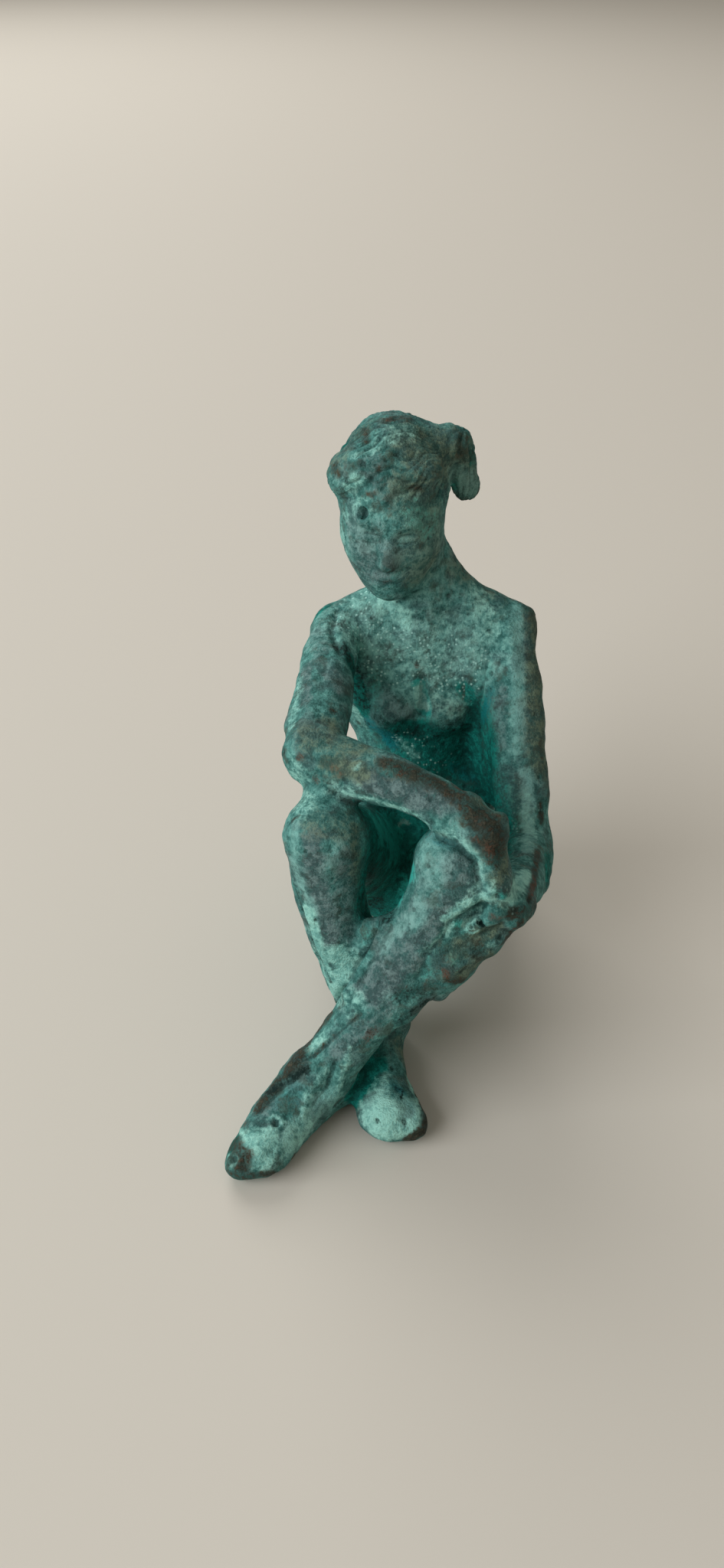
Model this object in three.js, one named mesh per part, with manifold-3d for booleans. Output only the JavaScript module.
// A small solid bronze of a seated woman. She sits on the ground with her knees drawn up and her ankles
// crossed, the right forearm laid over both knees and the left hand holding the shin. Millimetres, +Z up,
// the figure faces -Y, and the origin is on the ground at the centre of her bounding box.
import * as THREE from "three";
import { mergeVertices } from "three/addons/utils/BufferGeometryUtils.js";
import Module from "manifold-3d";

// Lengths of the body, joint to joint. The limbs were modelled by hand and aren't quite a pair.
const HIP_HEIGHT = 13.8;
const HIPS = 22.5;
const SHOULDERS = 38.6;
const SHOULDER_HEIGHT = 75;
const HEAD_HEIGHT = 103;
const RIGHT = { upperArm: 40, forearm: 38.5, hand: 9, thigh: 61.5, shin: 50.5, foot: 19.5 };
const LEFT = { upperArm: 47, forearm: 35, hand: 16, thigh: 64, shin: 54, foot: 19 };

// How far the shins bow and the calves swell from the straight line, where the big toes end, and how far
// down the shins the metal fills the angle where they cross
const RIGHT_LEG = { bow: [-2.2, 0, 0], calf: [-1.4, 3, 0], bigToe: [5.2, -2.4, -0.8] };
const LEFT_LEG = { bow: [2.4, 0, 0], calf: [2, 3.4, 0], bigToe: [-4.3, -3.6, -0.8] };
const CROSSING = { right: 0.475, left: 0.375, radius: 4 };

// Radii along the limbs
const ARM = { shoulder: 5.4, upper: 5.3, elbow: 5.9, forearm: 5.1, wrist: 3.8 };
const LEG = { hip: 11.6, thigh: 9.6, knee: 7.7, calf: 6.2, ankle: 5.1, heel: 4.6, toes: 4.4 };
const SOLE_HEIGHT = 4.6;
const TOE_PAD = { radii: [6.6, 6.3, 3.9], bigToe: 2.7 };
const PALM = { width: 5.8, thinness: 0.62 };
const FINGER = { count: 4, apart: 2.8, radius: 1.9, tip: 1.6, length: 7, outerShorter: 0.35 };

// Which way each hand's fingers point and spread, and which way its palm is flat
const RIGHT_HAND = { pointing: [-0.02, -0.1, -1], spread: [0, 1, 0.25], flat: [1, 0, 0.3] };
const LEFT_HAND = { pointing: [-0.62, -0.1, -0.85], spread: [0.62, 0.45, -0.62], flat: [0.6, -0.75, 0] };

// How wide the fillets are where forms run together
const FILLET = { trunk: 5, skull: 4, hip: 4, neck: 3, ankle: 3, groove: 2.5, hair: 2.2 };
const FINE_FILLET = { body: 1.8, face: 1.6, arm: 1.5, hairline: 1.4, hand: 1.2 };

// The masses of the trunk: where each egg lies, its radii, and its turn in degrees. Those in pairs are
// given for her left side.
const PELVIS = { at: [0, 0, 14], radii: [18.5, 15.5, 15] };
const BELLY = { at: [0, 4, 35], radii: [13, 10, 18], turn: [-6, 0, 0] };
const RIBS = { at: [0.3, 9.2, 57], radii: [16.4, 10.6, 20], turn: [-8, 0, 0] };
const TRUNK_PAIRS = {
  buttock: { at: [9.5, 7, 12.5], radii: [10.5, 11.5, 13.4] },
  haunch: { at: [12.2, 1.5, 29], radii: [7, 9, 13] },
  flank: { at: [12.6, 8, 63], radii: [4.8, 7, 11] },
  shoulderBlade: { at: [8.8, 16.4, 62], radii: [5.6, 3.2, 8.5], turn: [-8, 0, 12] },
};
const BREAST = { at: [6, 0.6, 58], radii: [4.8, 4, 4.8], turn: [-8, 0, 0] };
const ARMPIT_WEB = { at: [16.8, -2.5, 52], radii: [3.2, 10, 18], turn: [-35, 0, 30] };

// The tapers of the neck and back, each a point and a radius at either end
const NECK = [[[0, 11.5, 78], 7.5], [[-3.5, 10, 96], 6.6]];
const NAPE = [[[-1.5, 12, 95], 4.8], [[5.5, 11.5, 85], 4.2], [[13, 9, 78.5], 4.2]];
const SHOULDER_SLOPE = [[[-1, 12, 85], 5], [[13, 11, 77], 4]];
const UPPER_BACK = [[0, 12, 74], 7];
const SPINE_GROOVE = [[[0, 22.8, 72], 2.2], [[0, 16, 28], 2.2]];

// The masses of the head, from its middle, before it turns. The face is a plain, calm one.
const HEAD_TURN = [6, -1, -5];
const SKULL = { at: [0, 1.5, 3.6], radii: [10.4, 12.4, 12] };
const JAW = { at: [0, -2.2, -4.2], radii: [10.4, 9.6, 11.2] };
const FEATURES = {
  brow: { at: [0, -10.2, 2.9], radii: [6.2, 1.3, 1.5] },
  upperLip: { at: [0, -11, -9.2], radii: [2.9, 1.1, 0.8] },
  lowerLip: { at: [0, -10.6, -10.9], radii: [2.4, 1.1, 0.8] },
  chin: { at: [0, -8.4, -13.6], radii: [3.2, 2.6, 2.2] },
};
const FEATURE_PAIRS = {
  cheek: { at: [5, -8, -4.6], radii: [3.2, 2.4, 2.6] },
  eyelid: { at: [3.8, -10.2, -0.3], radii: [2, 1.3, 1.2] },
};
const EYE_SOCKET = { at: [3.8, -12.8, 0.2], radii: [2.7, 1.7, 1.7] };
const CHIN_REST = [[[0, -2, -7], 8.6], [[0, -5.6, -11.6], 5.6]];
const NOSE = [[[0, -11, 1.4], 0.9], [[0, -13, -5.2], 1.6]];
const HAIR = {
  cap: { at: [-0.4, 3, 5.6], radii: [11.8, 13, 12.8] },
  temple: { at: [-9.4, -1.4, 8.4], radii: [3.8, 5, 4.2] },
  rightWave: { at: [-3, -4.6, 12], radii: [7, 4.4, 3.2] },
  leftWave: { at: [5, -3.6, 11.4], radii: [5.5, 5, 3.2] },
};
const TAIL = [[[6.5, 5, 10], 5.2], [[12.4, 6, 12], 3.2], [[14, 8, 3.5], 2.8], [[14.6, 9, 0.4], 2.6]];
const TIE = [10.5, 5.6, 11.2];
const LOCKS = { count: 15, depth: 0.7 };

// How many tapers make the stretch between two stations of a limb, how fine the surface is worked, and how
// many triangles are kept of it
const LIMB_STEPS = 3;
const CELL = 1.1;
const KEPT_TRIANGLES = 8600;

const degrees = THREE.MathUtils.degToRad;
const point = (x, y, z) => new THREE.Vector3(x, y, z);

// Stations of a limb, each a point and a radius, from their numbers, placed by a rule
const stations = (numbers, place = point) => numbers.map(([at, radius]) => [place(...at), radius]);

// The point a length away: turned from straight ahead towards her left, and raised above the horizon
function reach(from, length, turned, raised) {
  const level = Math.cos(degrees(raised)) * length;
  return point(
    from.x + level * Math.sin(degrees(turned)),
    from.y - level * Math.cos(degrees(turned)),
    from.z + length * Math.sin(degrees(raised)),
  );
}

// The joints of the pose, from the seat upwards and outwards
function poseJoints() {
  const rightHip = point(-HIPS / 2, 1.4, HIP_HEIGHT);
  const leftHip = point(HIPS / 2, -1.4, HIP_HEIGHT);
  const rightShoulder = point(-SHOULDERS / 2 + 0.7, 9, SHOULDER_HEIGHT - 0.5);
  const leftShoulder = point(SHOULDERS / 2, 7.7, SHOULDER_HEIGHT);
  const rightKnee = reach(rightHip, RIGHT.thigh, -10.5, 45);
  const leftKnee = reach(leftHip, LEFT.thigh, -6, 42);
  const rightElbow = reach(rightShoulder, RIGHT.upperArm, -4.6, -8);
  const leftElbow = reach(leftShoulder, LEFT.upperArm, 8, -51.5);
  const rightWrist = reach(rightElbow, RIGHT.forearm, 60, -4.4);
  const leftWrist = reach(leftElbow, LEFT.forearm, -14, 20.6);
  const rightAnkle = reach(rightKnee, RIGHT.shin, 58, -76);
  const leftAnkle = reach(leftKnee, LEFT.shin, -62, -57.4);
  return {
    rightHip, leftHip, rightShoulder, leftShoulder, rightKnee, leftKnee,
    rightElbow, leftElbow, rightWrist, leftWrist, rightAnkle, leftAnkle,
    head: point(-7, 8.4, HEAD_HEIGHT),
    rightHand: reach(rightWrist, RIGHT.hand, 35, -72),
    leftHand: reach(leftWrist, LEFT.hand, -72, -54),
    rightToes: reach(rightAnkle, RIGHT.foot, 9.8, -11.6),
    leftToes: reach(leftAnkle, LEFT.foot, -42, -22),
  };
}

// Forms are functions of a point that give its distance outside them, negative within

// A limb that tapers from one ball to another, thinner along the flat direction if one is given
function taper(a, b, ra, rb, flat = null, thinness = 1) {
  const ab = b.clone().sub(a);
  const lengthSq = ab.lengthSq();
  const n = flat ? flat.clone().normalize() : point(0, 0, 0);
  const squeeze = 1 / thinness - 1;
  return (x, y, z) => {
    const px = x - a.x;
    const py = y - a.y;
    const pz = z - a.z;
    const t = Math.min(1, Math.max(0, (px * ab.x + py * ab.y + pz * ab.z) / lengthSq));
    let qx = px - t * ab.x;
    let qy = py - t * ab.y;
    let qz = pz - t * ab.z;
    if (flat) {
      const along = (qx * n.x + qy * n.y + qz * n.z) * squeeze;
      qx += along * n.x;
      qy += along * n.y;
      qz += along * n.z;
    }
    return Math.sqrt(qx * qx + qy * qy + qz * qz) - (ra + t * (rb - ra));
  };
}

// An egg of three radii, turned about X, then Y, then Z, in degrees
function egg(centre, rx, ry, rz, turn = [0, 0, 0]) {
  const euler = new THREE.Euler(...turn.map(degrees), "ZYX");
  const m = new THREE.Matrix4().makeRotationFromEuler(euler).transpose().elements;
  return (x, y, z) => {
    const px = x - centre.x;
    const py = y - centre.y;
    const pz = z - centre.z;
    const ux = (m[0] * px + m[4] * py + m[8] * pz) / rx;
    const uy = (m[1] * px + m[5] * py + m[9] * pz) / ry;
    const uz = (m[2] * px + m[6] * py + m[10] * pz) / rz;
    const k0 = Math.sqrt(ux * ux + uy * uy + uz * uz);
    const k1 = Math.sqrt((ux / rx) ** 2 + (uy / ry) ** 2 + (uz / rz) ** 2);
    return k1 < 1e-9 ? -Math.min(rx, ry, rz) : (k0 * (k0 - 1)) / k1;
  };
}

// An egg from its place, radii and turn, and a pair of them, one on each side
const eggOf = ({ at, radii, turn }) => egg(point(...at), ...radii, turn);
const mirrored = ({ at: [x, y, z], radii, turn: [a, b, c] = [0, 0, 0] }) => ({
  at: [-x, y, z],
  radii,
  turn: [a, -b, -c],
});
const pairOf = (shape) => [eggOf(mirrored(shape)), eggOf(shape)];

// Forms run together with a fillet about as wide as soft
function blend(soft, ...forms) {
  return (x, y, z) => {
    let d = forms[0](x, y, z);
    for (let i = 1; i < forms.length; i++) {
      const e = forms[i](x, y, z);
      const h = Math.max(soft - Math.abs(d - e), 0) / soft;
      d = Math.min(d, e) - (h * h * soft) / 4;
    }
    return d;
  };
}

// A form with others pressed out of it
function carve(soft, form, ...cutters) {
  return (x, y, z) => {
    let d = form(x, y, z);
    for (const cutter of cutters) {
      const e = -cutter(x, y, z);
      const h = Math.max(soft - Math.abs(d - e), 0) / soft;
      d = Math.max(d, e) + (h * h * soft) / 4;
    }
    return d;
  };
}

// A form combed in locks that run out from a tie, as meridians do from a pole, with a cleft between locks
function combed(form, middle, tie, { count, depth }) {
  const pole = tie.clone().sub(middle).normalize();
  const side = point(0, 0, 1).cross(pole).normalize();
  const up = pole.clone().cross(side);
  return (x, y, z) => {
    const px = x - middle.x;
    const py = y - middle.y;
    const pz = z - middle.z;
    const sideways = px * side.x + py * side.y + pz * side.z;
    const upwards = px * up.x + py * up.y + pz * up.z;
    const crown = Math.abs(Math.cos((count / 2) * Math.atan2(sideways, upwards)));
    const clear = Math.min(1, Math.hypot(sideways, upwards) / CELL / count);
    return form(x, y, z) + depth * clear * (1 - crown);
  };
}

// The taper between the first two stations
const taperOf = ([[a, ra], [b, rb]]) => taper(a, b, ra, rb);

// A limb through stations, as one smooth run of short tapers
function limb(...along) {
  const path = new THREE.CatmullRomCurve3(along.map(([p]) => p));
  const radii = along.map(([, radius]) => point(radius, 0, 0));
  const girth = new THREE.CatmullRomCurve3(radii, false, "catmullrom");
  const steps = LIMB_STEPS * (along.length - 1);
  const tapers = Array.from({ length: steps }, (_, i) => {
    const [from, to] = [i / steps, (i + 1) / steps];
    return taper(path.getPoint(from), path.getPoint(to), girth.getPoint(from).x, girth.getPoint(to).x);
  });
  return (x, y, z) => tapers.reduce((least, form) => Math.min(least, form(x, y, z)), Infinity);
}

const between = (a, b, share, dx, dy, dz) => a.clone().lerp(b, share).add(point(dx, dy, dz));

function torso(j) {
  const [neckEnd, shoulderEnd] = stations(SHOULDER_SLOPE);
  const rightEnd = [shoulderEnd[0].clone().setX(-shoulderEnd[0].x), shoulderEnd[1]];
  const [backMiddle] = stations([UPPER_BACK]);
  const body = blend(
    FILLET.trunk,
    ...[PELVIS, BELLY, RIBS].map(eggOf),
    ...Object.values(TRUNK_PAIRS).flatMap(pairOf),
    ...[j.rightShoulder, j.leftShoulder].map((shoulder) => taperOf([backMiddle, [shoulder, ARM.upper]])),
    ...[rightEnd, shoulderEnd].map((end) => taperOf([neckEnd, end])),
  );
  const upper = [taperOf(stations(NECK)), limb(...stations(NAPE)), eggOf(ARMPIT_WEB), ...pairOf(BREAST)];
  return carve(FILLET.groove, blend(FILLET.neck, body, ...upper), taperOf(stations(SPINE_GROOVE)));
}

function head(j) {
  const turn = new THREE.Euler(...HEAD_TURN.map(degrees), "ZYX");
  const at = (x, y, z) => point(x, y, z).applyEuler(turn).add(j.head);
  const mass = (shape) => egg(at(...shape.at), ...shape.radii, HEAD_TURN);
  const masses = (shape) => [mass(mirrored(shape)), mass(shape)];
  const face = blend(
    FINE_FILLET.face,
    blend(FILLET.skull, mass(SKULL), mass(JAW), taperOf(stations(CHIN_REST, at))),
    taperOf(stations(NOSE, at)),
    ...Object.values(FEATURES).map(mass),
    ...Object.values(FEATURE_PAIRS).flatMap(masses),
  );
  const swept = blend(FILLET.hair, ...Object.values(HAIR).map(mass));
  const locks = combed(swept, at(...HAIR.cap.at), at(...TIE), LOCKS);
  const hair = blend(FILLET.hair, locks, limb(...stations(TAIL, at)));
  return blend(FINE_FILLET.hairline, carve(FINE_FILLET.face, face, ...masses(EYE_SOCKET)), hair);
}

// Fingers side by side from the knuckles on
function fingers(knuckles, pointing, spread) {
  const way = point(...pointing).normalize();
  const across = point(...spread).normalize();
  return Array.from({ length: FINGER.count }, (_, i) => {
    const off = (i - (FINGER.count - 1) / 2) * FINGER.apart;
    const length = FINGER.length - FINGER.outerShorter * Math.abs(off);
    const from = knuckles.clone().addScaledVector(across, off);
    return taper(from, from.clone().addScaledVector(way, length), FINGER.radius, FINGER.tip);
  });
}

function hand(wrist, knuckles, { pointing, spread, flat }) {
  const palm = taper(wrist, knuckles, ARM.wrist, PALM.width, point(...flat), PALM.thinness);
  return blend(FINE_FILLET.hand, palm, ...fingers(knuckles, pointing, spread));
}

function rightArm(j) {
  const upperArm = limb(
    [j.rightShoulder, ARM.shoulder],
    [between(j.rightShoulder, j.rightElbow, 0.45, 0.4, 0, 0), ARM.upper],
    [j.rightElbow, ARM.elbow],
  );
  const forearm = limb(
    [j.rightElbow, ARM.elbow],
    [between(j.rightElbow, j.rightWrist, 0.22, 0.4, 0, 0.2), ARM.elbow - 0.4],
    [between(j.rightElbow, j.rightWrist, 0.5, 1.4, 0, 1.3), ARM.forearm - 0.3],
    [j.rightWrist, ARM.wrist],
  );
  const onKnee = egg(between(j.rightElbow, j.rightKnee, 0.5, 0, 0, 0), 3.2, 4, 4);
  return blend(FINE_FILLET.arm, upperArm, forearm, onKnee, hand(j.rightWrist, j.rightHand, RIGHT_HAND));
}

function leftArm(j) {
  const upperArm = limb(
    [j.leftShoulder, ARM.shoulder],
    [between(j.leftShoulder, j.leftElbow, 0.5, -0.4, 0, 0), ARM.upper],
    [j.leftElbow, ARM.elbow],
  );
  const forearm = limb(
    [j.leftElbow, ARM.elbow],
    [between(j.leftElbow, j.leftWrist, 0.42, 2, 0, -1.4), ARM.forearm + 0.5],
    [j.leftWrist, ARM.wrist],
  );
  return blend(FINE_FILLET.arm, upperArm, forearm, hand(j.leftWrist, j.leftHand, LEFT_HAND));
}

function leg(hip, knee, ankle, toes, { bow, calf, bigToe }) {
  const calfMuscle = between(knee, ankle, 0.3, ...calf);
  const heel = between(ankle, toes, -0.3, 0, 0, 0).setZ(SOLE_HEIGHT);
  const ball = between(ankle, toes, 0.72, 0, 0, 0).setZ(SOLE_HEIGHT);
  return blend(
    FILLET.ankle,
    limb([hip, LEG.hip], [between(hip, knee, 0.55, 0, 0, 0), LEG.thigh], [knee, LEG.knee]),
    limb([knee, LEG.knee], [between(knee, ankle, 0.42, ...bow), LEG.calf], [ankle, LEG.ankle]),
    taper(calfMuscle, ankle, LEG.calf - 0.6, LEG.ankle - 0.8),
    taper(ankle, heel, LEG.ankle, LEG.heel),
    taper(ankle, ball, LEG.ankle, LEG.toes),
    taper(heel, toes, LEG.heel, LEG.toes),
    egg(toes, ...TOE_PAD.radii),
    taper(toes, toes.clone().add(point(...bigToe)), TOE_PAD.bigToe + 0.6, TOE_PAD.bigToe),
  );
}

function figure() {
  const j = poseJoints();
  const legs = [
    leg(j.rightHip, j.rightKnee, j.rightAnkle, j.rightToes, RIGHT_LEG),
    leg(j.leftHip, j.leftKnee, j.leftAnkle, j.leftToes, LEFT_LEG),
  ];
  const rightShin = between(j.rightKnee, j.rightAnkle, CROSSING.right, 0, 0, 0);
  const leftShin = between(j.leftKnee, j.leftAnkle, CROSSING.left, 0, 0, 0);
  const crossing = taper(rightShin, leftShin, CROSSING.radius, CROSSING.radius);
  const lower = blend(FILLET.hip, torso(j), ...legs);
  return blend(FINE_FILLET.body, lower, crossing, head(j), rightArm(j), leftArm(j));
}

// The surface where a form's distance is nought, by marching the six tetrahedra of each cell that is near
// it, within so many cells. No distance counts as nought exactly, and no point lies closer to a cell's
// corner than a least share of its edge.
const NEAR = 4;
const LEAST = 1e-6;
const LEAST_SHARE = 0.02;
function skin(form, low, high, cell) {
  const count = ["x", "y", "z"].map((a) => Math.ceil((high[a] - low[a]) / cell) + 1);
  const [nx, ny, nz] = count;
  const step = [1, nx, nx * ny];
  const values = new Float32Array(nx * ny * nz);
  const place = (i) => [
    low.x + (i % nx) * cell,
    low.y + (Math.floor(i / nx) % ny) * cell,
    low.z + Math.floor(i / step[2]) * cell,
  ];
  for (let i = 0; i < values.length; i++) values[i] = form(...place(i)) || LEAST;
  const orders = [[0, 1, 2], [0, 2, 1], [1, 0, 2], [1, 2, 0], [2, 0, 1], [2, 1, 0]];
  const tetrahedra = orders.map(([a, b, c]) => [
    0, step[a], step[a] + step[b], step[a] + step[b] + step[c],
  ]);
  const points = [];
  const triangles = [];
  const found = new Map();
  const crossing = (inner, outer) => {
    const key = inner * values.length + outer;
    if (!found.has(key)) {
      const share = values[inner] / (values[inner] - values[outer]);
      const t = Math.min(1 - LEAST_SHARE, Math.max(LEAST_SHARE, share));
      const p = place(inner);
      const q = place(outer);
      found.set(key, points.length / 3);
      points.push(...p.map((v, axis) => v + t * (q[axis] - v)));
    }
    return found.get(key);
  };
  const addTriangle = (a, b, c, inner, outer) => {
    const [pa, pb, pc] = [a, b, c].map((v) => point(...points.slice(3 * v, 3 * v + 3)));
    const outward = point(...place(outer)).sub(point(...place(inner)));
    const normal = pb.sub(pa).cross(pc.sub(pa));
    triangles.push(...(normal.dot(outward) > 0 ? [a, b, c] : [a, c, b]));
  };
  const addTetrahedron = (corners) => {
    const inner = corners.filter((c) => values[c] < 0);
    const outer = corners.filter((c) => values[c] >= 0);
    if (inner.length === 1) {
      addTriangle(...outer.map((o) => crossing(inner[0], o)), inner[0], outer[0]);
    } else if (inner.length === 3) {
      addTriangle(...inner.map((i) => crossing(i, outer[0])), inner[0], outer[0]);
    } else if (inner.length === 2) {
      const [a, b] = outer.map((o) => crossing(inner[0], o));
      const [c, d] = outer.map((o) => crossing(inner[1], o));
      addTriangle(a, b, c, inner[0], outer[0]);
      addTriangle(b, d, c, inner[0], outer[0]);
    }
  };
  for (let base = 0; base < values.length - step[2]; base++) {
    const atEdge = base % nx === nx - 1 || Math.floor(base / nx) % ny === ny - 1;
    const nearSurface = Math.abs(values[base]) < NEAR * cell;
    if (nearSurface && !atEdge) {
      for (const corners of tetrahedra) addTetrahedron(corners.map((c) => base + c));
    }
  }
  return { points, triangles };
}

// A first-in-cost queue of edges
class Queue {
  items = [];

  push(item) {
    const { items } = this;
    let i = items.push(item) - 1;
    while (i > 0) {
      const up = (i - 1) >> 1;
      if (items[up].cost <= item.cost) break;
      items[i] = items[up];
      i = up;
    }
    items[i] = item;
  }

  pop() {
    const { items } = this;
    const top = items[0];
    const last = items.pop();
    if (!items.length) return top;
    let i = 0;
    for (;;) {
      let down = 2 * i + 1;
      if (down >= items.length) break;
      if (down + 1 < items.length && items[down + 1].cost < items[down].cost) down++;
      if (items[down].cost >= last.cost) break;
      items[i] = items[down];
      i = down;
    }
    items[i] = last;
    return top;
  }
}

// The same surface with fewer triangles: the edge whose loss moves the surface least goes first. A vertex
// keeps the sum of its planes as a symmetric 4x4 form, with a weak pull to where it was. An edge stays if
// its loss would turn a triangle so far that the cosine falls below the least one.
const PULL = 1e-3;
const LEAST_COSINE = 0.3;
function simplify({ points, triangles }, kept) {
  const vertexCount = points.length / 3;
  const at = (v) => point(points[3 * v], points[3 * v + 1], points[3 * v + 2]);
  const positions = Array.from({ length: vertexCount }, (_, v) => at(v));
  const planes = positions.map(() => new Float64Array(10));
  const fans = positions.map(() => new Set());
  const stamps = new Uint32Array(vertexCount);
  const faces = [];
  for (let i = 0; i < triangles.length; i += 3) faces.push(triangles.slice(i, i + 3));
  const normalOf = (a, b, c) => b.clone().sub(a).cross(c.clone().sub(a));

  faces.forEach((face, f) => {
    const [a, b, c] = face.map((v) => positions[v]);
    const n = normalOf(a, b, c);
    const area = n.length() / 2;
    n.normalize();
    const d = -n.dot(a);
    const row = [n.x, n.y, n.z, d];
    for (const v of face) {
      fans[v].add(f);
      const p = positions[v];
      const pull = [1, 0, 0, -p.x, 1, 0, -p.y, 1, -p.z, p.lengthSq()];
      const plane = row.flatMap((value, r) => row.slice(r).map((other) => value * other));
      plane.forEach((value, i) => (planes[v][i] += area * (value + PULL * pull[i])));
    }
  });

  // The point that fits two vertices' planes best, and how badly it fits
  const best = (u, v) => {
    const q = planes[u].map((value, i) => value + planes[v][i]);
    const [xx, xy, xz, xw, yy, yz, yw, zz, zw, ww] = q;
    const m = new THREE.Matrix3(xx, xy, xz, xy, yy, yz, xz, yz, zz).invert();
    const p = point(-xw, -yw, -zw).applyMatrix3(m);
    const cost = ww + xw * p.x + yw * p.y + zw * p.z;
    return { p, cost };
  };
  const queue = new Queue();
  const offer = (u, v) => queue.push({ u, v, su: stamps[u], sv: stamps[v], ...best(u, v) });
  const around = (v) => new Set([...fans[v]].flatMap((f) => faces[f]).filter((w) => w !== v));

  for (let v = 0; v < vertexCount; v++) {
    for (const w of around(v)) {
      if (v < w) offer(v, w);
    }
  }

  let count = faces.length;
  while (count > kept && queue.items.length) {
    const { u, v, su, sv, p } = queue.pop();
    if (stamps[u] !== su || stamps[v] !== sv || !fans[u].size || !fans[v].size) continue;
    const shared = [...fans[u]].filter((f) => fans[v].has(f));
    const ringV = around(v);
    const common = [...around(u)].filter((w) => ringV.has(w));
    if (shared.length !== 2 || common.length !== 2) continue;
    const turns = [...fans[u], ...fans[v]].some((f) => {
      if (shared.includes(f)) return false;
      const before = faces[f].map((w) => positions[w]);
      const after = faces[f].map((w) => (w === u || w === v ? p : positions[w]));
      const [n, m] = [normalOf(...before), normalOf(...after)];
      return n.dot(m) <= LEAST_COSINE * n.length() * m.length();
    });
    if (turns) continue;
    for (const f of shared) {
      for (const w of faces[f]) fans[w].delete(f);
      faces[f] = null;
    }
    for (const f of fans[v]) {
      faces[f] = faces[f].map((w) => (w === v ? u : w));
      fans[u].add(f);
    }
    fans[v].clear();
    positions[u] = p;
    planes[v].forEach((value, i) => (planes[u][i] += value));
    stamps[u]++;
    stamps[v]++;
    count -= 2;
    for (const w of around(u)) offer(u, w);
  }

  const corners = faces.filter(Boolean).flat();
  const used = [...new Set(corners)];
  const index = new Map(used.map((v, i) => [v, i]));
  const left = used.flatMap((v) => positions[v].toArray());
  return { points: left, triangles: corners.map((v) => index.get(v)) };
}

const wasm = await Module();
wasm.setup();

function solidFrom(points, triangles) {
  return new wasm.Manifold(
    new wasm.Mesh({
      numProp: 3,
      vertProperties: new Float32Array(points),
      triVerts: new Uint32Array(triangles),
    }),
  );
}

// The size of the block of ground, and the corners of the space that the figure is worked out in
const GROUND = 300;
const LOW = point(-48, -95, -4);
const HIGH = point(36, 36, 130);

// Everything below the ground goes, which leaves the seat and both soles flat
function groundedSolid(surface) {
  const ground = new THREE.BoxGeometry(GROUND, GROUND, GROUND).translate(0, 0, -GROUND / 2);
  ground.deleteAttribute("normal");
  ground.deleteAttribute("uv");
  const closed = mergeVertices(ground);
  const below = solidFrom(closed.attributes.position.array, closed.index.array);
  return solidFrom(surface.points, surface.triangles).subtract(below);
}

function buildGroup() {
  const surface = simplify(skin(figure(), LOW, HIGH, CELL), KEPT_TRIANGLES);
  const mesh = groundedSolid(surface).getMesh();
  const geometry = new THREE.BufferGeometry();
  geometry.setAttribute("position", new THREE.BufferAttribute(mesh.vertProperties, 3));
  geometry.setIndex(new THREE.BufferAttribute(mesh.triVerts, 1));
  geometry.computeBoundingBox();
  const middle = geometry.boundingBox.getCenter(point(0, 0, 0));
  geometry.translate(-middle.x, -middle.y, 0);
  geometry.computeVertexNormals();
  const bronze = new THREE.MeshStandardMaterial({ color: "#4f7f78", roughness: 0.75, metalness: 0.3 });
  const woman = new THREE.Mesh(geometry, bronze);
  woman.name = "seated_woman";
  return new THREE.Group().add(woman);
}

export default buildGroup();
